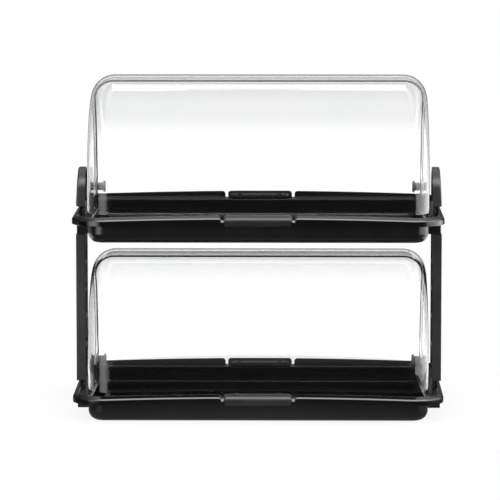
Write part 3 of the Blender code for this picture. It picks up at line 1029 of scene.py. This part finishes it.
@dataclass
class Post(SideMoulding):
    """One side post: a channel open inwards, with cross ribs and a tongue at each end."""

    foot: float = 0.010
    rib: float = 0.002
    pockets: int = 5
    mouth_radius: float = 0.001
    rib_flare: float = 0.0007
    pocket_roll: float = 0.0006
    edge: float = 0.001

    def build(self) -> Piece:
        """Make the post and dress it in grained grey."""
        name = f"{self.side.name.lower()}_post"
        low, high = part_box(name)
        outer = max(abs(low.x), abs(high.x))
        inner = outer - self.width
        bottom = Tray(Tier.LOWER).side_seat
        top = Tray(Tier.UPPER).base - SEAT
        sign = self.side.value
        mesh = rolled_block(ordered(sign, inner, outer), (-self.half_depth, self.half_depth), (bottom, top),
                            self.edge, 4).to_mesh("post")
        pitch = (top - bottom - self.foot) / self.pockets
        pocket_x = ordered(sign, inner - OVERRUN, outer - self.wall)
        half, tall = self.half_depth - self.wall, (pitch - self.rib) / 2
        for index in range(self.pockets):
            start = bottom + self.foot + index * pitch
            pocket_z = (start, start + pitch - self.rib)
            pocket = rolled_block(pocket_x, (-half, half), pocket_z, self.pocket_roll, 2)
            mesh = combined(mesh, pocket, Cut.REMOVE)
            wide, narrow = (rounded_rectangle(size, self.mouth_radius, 3, (0.0, start + tall))
                            for size in ((half + self.mouth_flare, tall + self.rib_flare), (half, tall)))
            mesh = combined(mesh, self.mouth(wide, narrow, inner), Cut.REMOVE)
        for span_z in ((low.z, bottom + 2 * OVERRUN), (top - 2 * OVERRUN, high.z)):
            mesh = combined(mesh, Tongue(self.side).shank(span_z), Cut.JOIN)
        return add_piece(name, mesh, GREY_ABS)


@dataclass
class EndCap(SideMoulding):
    """One end cap on the upper tray: round-topped, tapered outside, hollow inside, with a tongue."""

    foot: float = 0.003
    draft: float = math.radians(3)
    edge: float = 0.0022
    foot_radius: float = 0.0012
    steps: int = 48

    def build(self) -> Piece:
        """Make the end cap and dress it in grained grey."""
        name = f"{self.side.name.lower()}_end_cap"
        low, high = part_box(name)
        outer = max(abs(low.x), abs(high.x))
        inner = outer - self.width
        bottom = Tray(Tier.UPPER).side_seat
        slope = math.tan(self.draft)
        edge, sign = self.edge, self.side.value

        def outline(inset: float, foot: float) -> np.ndarray:
            """The cap seen from its side, drawn in by inset, on a foot of some height."""
            half = self.half_depth - inset
            return round_top(half, bottom + foot, high.z - inset, self.foot_radius, self.steps)

        def section(depth: float, inset: float) -> np.ndarray:
            """The outline at one depth from the outer face, drawn in by inset, on the tapered face."""
            y, z = outline(inset, inset).T
            lean = slope if depth < self.width / 2 else 0.0
            return np.stack([sign * (outer - depth - lean * (z - bottom)), y, z], -1)

        rings = [section(self.width, 0.0)]
        rings += [section(depth, inset) for inset, depth in arc((edge, edge), edge, math.pi, 3 * QUARTER, 5)]
        mesh = loft(np.array(rings)).to_mesh("end_cap")
        hollow = outline(self.wall, self.foot)
        mouth = on_plane(hollow, 0, sign * (inner - OVERRUN))
        deep = np.insert(hollow, 0, sign * (outer - self.wall - slope * (hollow[:, 1] - bottom)), axis=-1)
        mesh = combined(mesh, loft(np.array([mouth, deep])), Cut.REMOVE)
        flared = outline(self.wall - self.mouth_flare, self.foot - self.mouth_flare)
        mesh = combined(mesh, self.mouth(flared, hollow, inner), Cut.REMOVE)
        mesh = combined(mesh, Tongue(self.side).shank((low.z, bottom + 2 * OVERRUN)), Cut.JOIN)
        return add_piece(name, mesh, GREY_ABS)


# Studio


def reckon(tree: Tree, operation: str, first: object, second: object) -> Socket:
    """One step of arithmetic on two values, each a number or a socket."""
    return add_node(tree, "Math", {"operation": operation}, in_0=first, in_1=second).outputs[0]


def ramp(tree: Tree, value: Socket, low: tuple, high: tuple) -> Socket:
    """Go smoothly from one (place, level) to another.

    Args:
        tree: The node tree.
        value: The socket that gives the place.
        low: The lower place and the level up to it.
        high: The higher place and the level from it on.

    Returns:
        The level's socket.
    """
    node = add_node(tree, "MapRange", {"clamp": True, "interpolation_type": "SMOOTHSTEP"},
                    Value=value, From_Min=low[0], From_Max=high[0], To_Min=low[1], To_Max=high[1])
    return node.outputs["Result"]


def blend(tree: Tree, share: Socket, low: object, high: object) -> Socket:
    """Mix two levels, each a number or a socket, by a share."""
    node = add_node(tree, "Mix", {"data_type": "FLOAT"}, Factor=share, in_2=low, in_3=high)
    return node.outputs[0]


@dataclass
class Softbox:
    """One lamp that looks at the bin, with its own radiance; where mirrored is off, nothing mirrors it."""

    name: str
    place: tuple
    target: tuple
    width: float
    height: float
    radiance: float
    mirrored: bool = True
    shape: str = "RECTANGLE"

    def build(self) -> None:
        """Add the lamp: its power is radiance * area * pi, the area that of its whole rectangle."""
        lamp = bpy.data.lights.new(self.name, "AREA")
        lamp.shape = self.shape
        lamp.size = self.width
        lamp.size_y = self.height
        lamp.energy = self.radiance * self.width * self.height * math.pi
        item = bpy.data.objects.new(self.name, lamp)
        bpy.context.scene.collection.objects.link(item)
        item.location = self.place
        aim = Vector(self.target) - Vector(self.place)
        item.rotation_euler = aim.to_track_quat("-Z", "Y").to_euler()
        item.visible_camera = False
        item.visible_glossy = item.visible_transmission = self.mirrored


@dataclass
class Studio:
    """The white set: floor, surroundings, lamps and camera.

    The levels are strengths, where 1 is white. A pair such as ((-0.6, 0.2), (-0.1, 1.0)) is a ramp: 0.2 up
    to the place -0.6 and 1.0 from the place -0.1 on, the place being a world direction's x, y or z.
    """

    floor_radius: float = 0.42
    floor_gap: float = 0.0002
    floor_steps: int = 96
    floor_white: float = 1.12
    floor_white_share: float = 0.75
    # A painted pool of light on the floor, seen only in mirroring: its strength by distance from the middle
    floor_painted_pool: tuple = ((0.15, 0.3), (0.42, 0.05))
    sky_peak: float = 8.0
    sky_levels: tuple = ((0, 0.06), (10, 0.5), (18, 1.6), (28, 5.5), (50, 7.0), (59, 2.0), (66, 1.3),
                         (78, 1.7), (88, 1.5), (100, 1.7), (118, 1.1), (135, 0.5), (150, 0.35), (166, 0.25),
                         (171, 0.05), (180, 0.15))
    sky_left: tuple = ((-0.6, 0.2), (-0.1, 1.0))
    glow_start: float = math.radians(38)
    glow_full: float = math.radians(125)
    glow_end: float = math.radians(150)
    glow_level: float = 2.6
    glow_foot: tuple = ((-0.147, 0.15), (-0.125, 1.0))
    glow_top: tuple = ((-0.08, 1.0), (0.1, 0.0))
    panel_edges: tuple = tuple(math.radians(a) for a in (-66, -43, -31, -9))
    panel_foot: tuple = ((-0.3, 0.0), (-0.25, 2.6))
    panel_top: tuple = ((0.3, 1.0), (0.5, 0.0))
    behind_depth: tuple = ((0.0, 0.0), (0.3, 1.0))
    behind_top: tuple = ((-0.155, 1.0), (-0.125, 0.0))
    behind_level: float = 2.0
    cover_share: float = 0.4
    cover_shade: tuple = ((math.radians(31), 0.1), (math.radians(40), 1.0))
    backdrop_start: tuple = ((0.75, 0.0), (0.93, 1.0))
    backdrop_foot: tuple = ((-0.0731, 1.1), (-0.066, 0.96))
    table_edge: tuple = ((-0.0738, 0.0), (-0.0731, 1.0))
    table_level: float = 1.27
    flank_level: float = 0.45
    rear_half: tuple = ((-0.1, 0.0), (0.2, 1.0))
    white_end: tuple = ((0.6, 1.0), (0.75, 0.0))
    other_level: float = 0.4
    camera_place: tuple = (0.03725, -4.23028, 0.67607)
    camera_pan: float = -0.011384
    camera_tilt: float = 0.114539
    camera_lens: float = 252.35
    lamps: list = field(default_factory=lambda: [
        Softbox("right_softbox", (1.3, -0.2, 0.45), (0.0, -0.2, 0.2), 1.8, 1.2, 1.4),
        Softbox("left_panel", (-0.8, -0.88, 0.45), (0.0, 0.0, 0.2), 0.8, 0.9, 2.6, False),
        Softbox("front_band", (0.0, -1.6, 0.95), (0.0, 0.0, 0.2), 2.2, 0.7, 2.6, False),
        Softbox("overhead_bank", (0.0, 0.0, 1.7), (0.0, 0.0, 0.2), 1.4, 1.0, 0.9, False),
        Softbox("rear_overhead_strip", (0.0, 0.995, 1.6), (0.0, -0.05, 0.39), 0.6, 0.26, 1.2),
        Softbox("left_overhead_strip", (-0.198, 0.78, 1.6), (-0.198, -0.06, 0.39), 0.14, 0.17, 1.2,
                shape="ELLIPSE"),
        Softbox("right_overhead_strip", (0.2, 0.8, 1.6), (0.2, -0.06, 0.39), 0.3, 0.16, 0.6, shape="ELLIPSE"),
    ])

    def floor(self) -> None:
        """A round white floor with the bin's shadow on it.

        It is white where seen straight, through the covers alone, or through them behind the bin. Mirrored,
        it shows a painted pool of light, dim and fading to its edge.
        """
        outline = arc((0.0, 0.0), self.floor_radius, 0.0, math.tau, self.floor_steps)[:-1]
        mesh = bpy.data.meshes.new("floor")
        mesh.from_pydata(on_plane(outline, 2, -self.floor_gap).tolist(), [], [list(range(len(outline)))])
        item = bpy.data.objects.new("floor", mesh)
        bpy.context.scene.collection.objects.link(item)
        material = bpy.data.materials.new("matt_white_paint")
        material.use_nodes = True
        tree = material.node_tree
        tree.nodes.clear()
        path = add_node(tree, "LightPath").outputs
        place = add_node(tree, "TexCoord").outputs["Object"]
        across = add_node(tree, "SeparateXYZ", Vector=place).outputs["Y"]
        behind = reckon(tree, "GREATER_THAN", across, 0.0)
        unmirrored = reckon(tree, "LESS_THAN", path["Glossy Depth"], HALF_STEP)
        through = reckon(tree, "MAXIMUM", behind, unmirrored)
        through = reckon(tree, "MULTIPLY", through, path["Is Transmission Ray"])
        seen = reckon(tree, "MAXIMUM", path["Is Camera Ray"], through)
        mirrored = reckon(tree, "MAXIMUM", reckon(tree, "SUBTRACT", path["Is Glossy Ray"], through), 0.0)
        matt = add_node(tree, "BsdfDiffuse", Color=linear("#F4F4F4"))
        white = add_node(tree, "Emission", Color=WHITE, Strength=self.floor_white)
        straight = add_node(tree, "MixShader", Fac=self.floor_white_share, in_1=matt.outputs[0],
                            in_2=white.outputs[0])
        lit = add_node(tree, "MixShader", Fac=seen, in_1=matt.outputs[0], in_2=straight.outputs[0])
        # Seen mirrored, the floor is a painted pool of light: an emission strongest near the bin, fading to
        # its edge
        reach = add_node(tree, "VectorMath", {"operation": "LENGTH"}, in_0=place)
        dim = add_node(tree, "Emission", Color=WHITE,
                       Strength=ramp(tree, reach.outputs["Value"], *self.floor_painted_pool))
        mixed = add_node(tree, "MixShader", Fac=mirrored, in_1=lit.outputs[0], in_2=dim.outputs[0])
        add_node(tree, "OutputMaterial", Surface=mixed.outputs[0])
        mesh.materials.append(material)

    def mirrored_level(self, tree: Tree, place: tuple, height: Socket, around: Socket) -> Socket:
        """What a mirroring surface shows of the surroundings.

        Over the front, overhead and down to the back it follows sky_levels by degrees, dimmer to the left.
        On the right there is a glow about the horizon, low on the left a panel, and low behind a pale table.

        Args:
            tree: The world's node tree.
            place: The direction's x, y and z.
            height: Its angle above the front horizon.
            around: Its angle to the right of the front.

        Returns:
            The level's socket.
        """
        x, y, z = place
        graded = add_node(tree, "ValToRGB", Fac=reckon(tree, "DIVIDE", height, math.pi))
        stops = graded.color_ramp.elements
        for index, (degrees, level) in enumerate(self.sky_levels):
            stop = stops[index] if index < 2 else stops.new(1.0)
            stop.position = degrees / 180
            stop.color = (*(level / self.sky_peak,) * 3, 1.0)
        sky = reckon(tree, "MULTIPLY", graded.outputs["Color"], self.sky_peak)
        sky = reckon(tree, "MULTIPLY", sky, ramp(tree, x, *self.sky_left))
        glow = add_node(tree, "MapRange", {"clamp": True}, Value=around, From_Min=self.glow_start,
                        From_Max=self.glow_full, To_Max=self.glow_level).outputs["Result"]
        for edge in (ramp(tree, around, (self.glow_full, 1.0), (self.glow_end, 0.0)),
                     ramp(tree, z, *self.glow_foot), ramp(tree, z, *self.glow_top)):
            glow = reckon(tree, "MULTIPLY", glow, edge)
        first, second, third, fourth = self.panel_edges
        panel = ramp(tree, z, *self.panel_foot)
        for edge in (ramp(tree, z, *self.panel_top), ramp(tree, around, (first, 0.0), (second, 1.0)),
                     ramp(tree, around, (third, 1.0), (fourth, 0.0))):
            panel = reckon(tree, "MULTIPLY", panel, edge)
        level = reckon(tree, "ADD", panel, reckon(tree, "ADD", glow, sky))
        table = reckon(tree, "MULTIPLY", ramp(tree, y, *self.behind_depth), ramp(tree, z, *self.behind_top))
        return blend(tree, table, level, self.behind_level)

    def surroundings(self) -> None:
        """The world, white where seen straight or through clear plastic alone.

        Through the plastic after a mirroring step, it is white to the back with a table edge in it, and a
        dim share of what is mirrored to the front.
        """
        world = bpy.data.worlds.new("white_set")
        bpy.context.scene.world = world
        world.use_nodes = True
        tree = world.node_tree
        tree.nodes.clear()
        path = add_node(tree, "LightPath").outputs
        direction = add_node(tree, "TexCoord").outputs["Generated"]
        x, y, z = add_node(tree, "SeparateXYZ", Vector=direction).outputs
        towards = reckon(tree, "MULTIPLY", y, -1.0)
        height = reckon(tree, "ARCTAN2", z, towards)
        mirrored = self.mirrored_level(tree, (x, y, z), height, reckon(tree, "ARCTAN2", x, towards))
        covered = reckon(tree, "MULTIPLY", mirrored, ramp(tree, height, *self.cover_shade))
        covered = reckon(tree, "MULTIPLY", covered, self.cover_share)
        backdrop = ramp(tree, z, *self.backdrop_foot)
        backdrop = blend(tree, ramp(tree, z, *self.table_edge), self.table_level, backdrop)
        through = blend(tree, ramp(tree, y, *self.backdrop_start), self.flank_level, backdrop)
        through = blend(tree, ramp(tree, y, *self.rear_half), covered, through)
        unmirrored = reckon(tree, "LESS_THAN", path["Glossy Depth"], HALF_STEP)
        plain = reckon(tree, "MULTIPLY", unmirrored, ramp(tree, y, *self.white_end))
        through = blend(tree, plain, through, 1.0)
        level = blend(tree, path["Is Glossy Ray"], self.other_level, mirrored)
        level = blend(tree, path["Is Transmission Ray"], level, through)
        level = blend(tree, path["Is Camera Ray"], level, 1.0)
        sky = add_node(tree, "Background", Color=WHITE, Strength=level)
        add_node(tree, "OutputWorld", Surface=sky.outputs[0])

    def camera(self) -> None:
        """The photograph's view: position, pan, downward tilt and lens found from the bin's own corners."""
        data = bpy.data.cameras.new("camera")
        data.sensor_width = 36.0
        data.sensor_fit = "HORIZONTAL"
        data.lens = self.camera_lens
        data.clip_end = 100.0
        item = bpy.data.objects.new("camera", data)
        bpy.context.scene.collection.objects.link(item)
        item.location = self.camera_place
        item.rotation_euler = (QUARTER - self.camera_tilt, 0.0, -self.camera_pan)
        bpy.context.scene.camera = item

    def build(self) -> None:
        """Set up everything round the bin."""
        bpy.context.scene.view_settings.view_transform = "Standard"
        self.floor()
        self.surroundings()
        for lamp in self.lamps:
            lamp.build()
        self.camera()
        LOG.info("studio: %d lamps", len(self.lamps))


def main() -> None:
    """Dress the bin, tier by tier, and set up the studio round it."""
    logging.basicConfig(level=logging.INFO, format="%(name)s %(message)s")
    for tier in Tier:
        Tray(tier).build()
        for facing in Facing:
            Cover(tier, facing).build()
            Grip(tier, facing).build()
        for side in Side:
            Pivot(tier, side).build()
    for side in Side:
        Post(side).build()
        EndCap(side).build()
    Studio().build()


if __name__ == "__main__":
    main()
